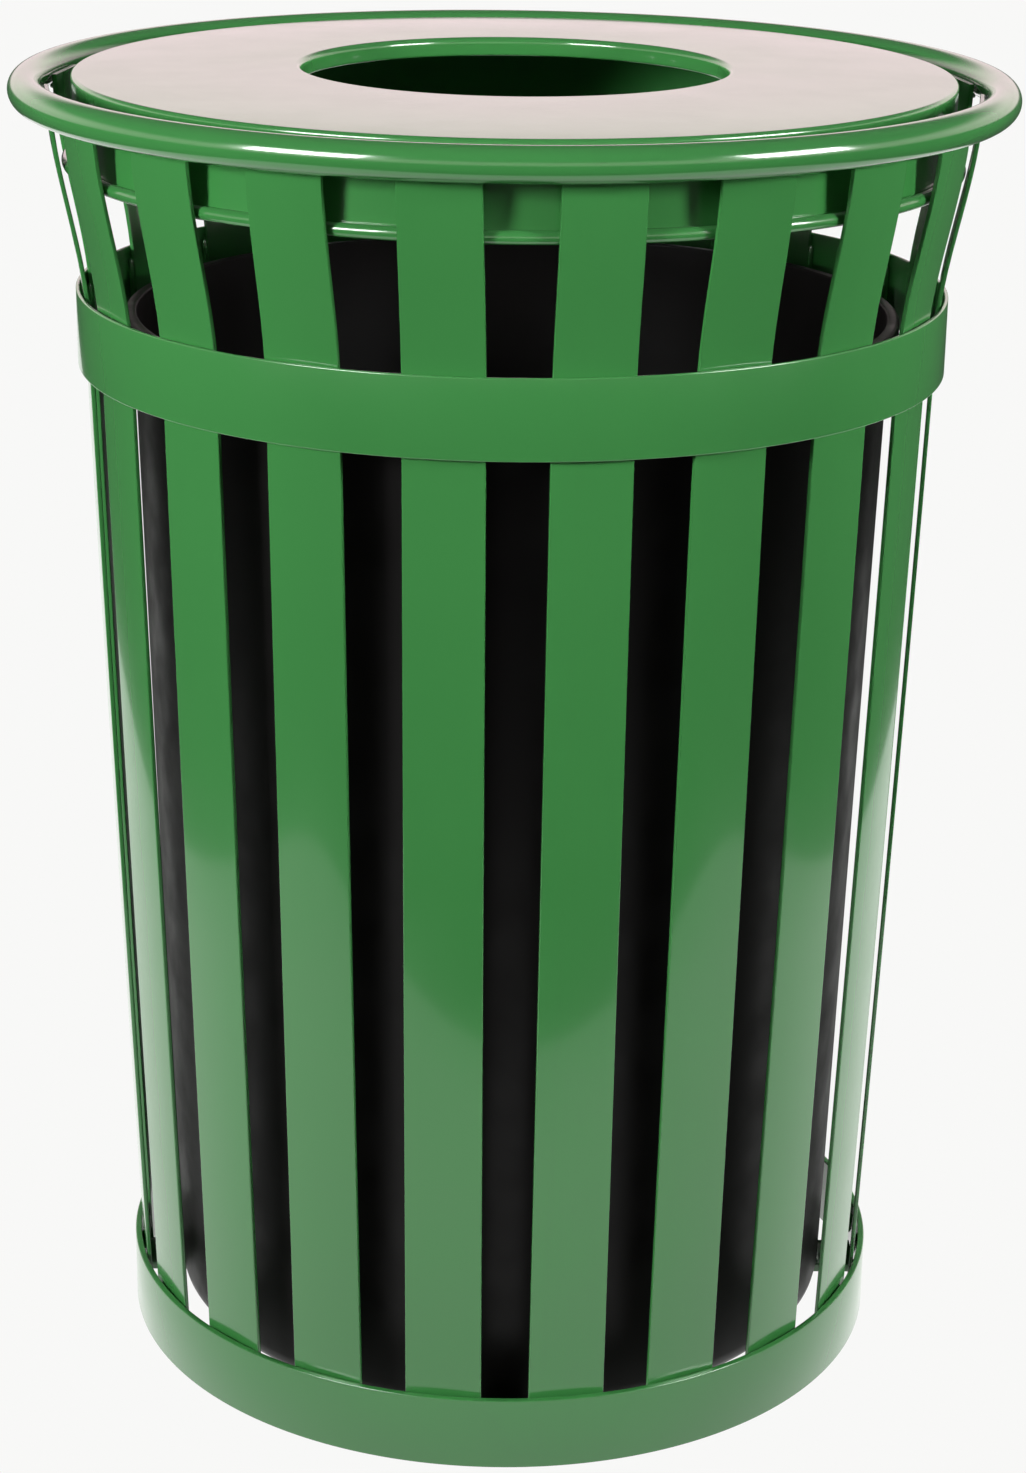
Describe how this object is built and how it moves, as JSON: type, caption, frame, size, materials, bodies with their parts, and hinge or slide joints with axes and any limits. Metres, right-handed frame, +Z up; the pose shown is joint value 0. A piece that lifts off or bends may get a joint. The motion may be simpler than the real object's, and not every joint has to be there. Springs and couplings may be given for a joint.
{
  "type": "slatted steel litter bin",
  "caption": "Round slatted steel litter bin, flared at the top, with a flat lift-off lid with a round mouth and a loose plastic liner.",
  "frame": {"origin": "on the ground at the bin's vertical axis, at the middle of the base hoop", "axes": "+Z up along the bin's axis, -Y to the front, +X to the right seen from the front"},
  "size_m": [0.66, 0.66, 0.8905],
  "materials": {
    "slat_paint": "gloss powder coat",
    "hoop_paint": "gloss powder coat",
    "ring_paint": "gloss powder coat",
    "bar_paint": "gloss powder coat",
    "lid_paint": "gloss powder coat",
    "liner_plastic": "satin moulded plastic"
  },
  "bodies": {
    "basket": {"slat_01": "slat_paint", "slat_02": "slat_paint", "slat_03": "slat_paint", "slat_04": "slat_paint", "slat_05": "slat_paint", "slat_06": "slat_paint", "slat_07": "slat_paint", "slat_08": "slat_paint", "slat_09": "slat_paint", "slat_10": "slat_paint", "slat_11": "slat_paint", "slat_12": "slat_paint", "slat_13": "slat_paint", "slat_14": "slat_paint", "slat_15": "slat_paint", "slat_16": "slat_paint", "slat_17": "slat_paint", "slat_18": "slat_paint", "slat_19": "slat_paint", "slat_20": "slat_paint", "top_ring": "ring_paint", "middle_hoop": "hoop_paint", "base_hoop": "hoop_paint", "base_bar_long": "bar_paint", "base_bar_front": "bar_paint", "base_bar_back": "bar_paint"},
    "liner": {"liner_tub": "liner_plastic"},
    "lid": {"lid_shell": "lid_paint"}
  },
  "joints": [
    {"name": "liner_lift", "type": "slide", "parent": "basket", "child": "liner", "axis": [0, 0, 1], "range_m": [0, 0.88]},
    {"name": "lid_lift", "type": "slide", "parent": "liner", "child": "lid", "axis": [0, 0, 1], "range_m": [0, 0.12]}
  ]
}
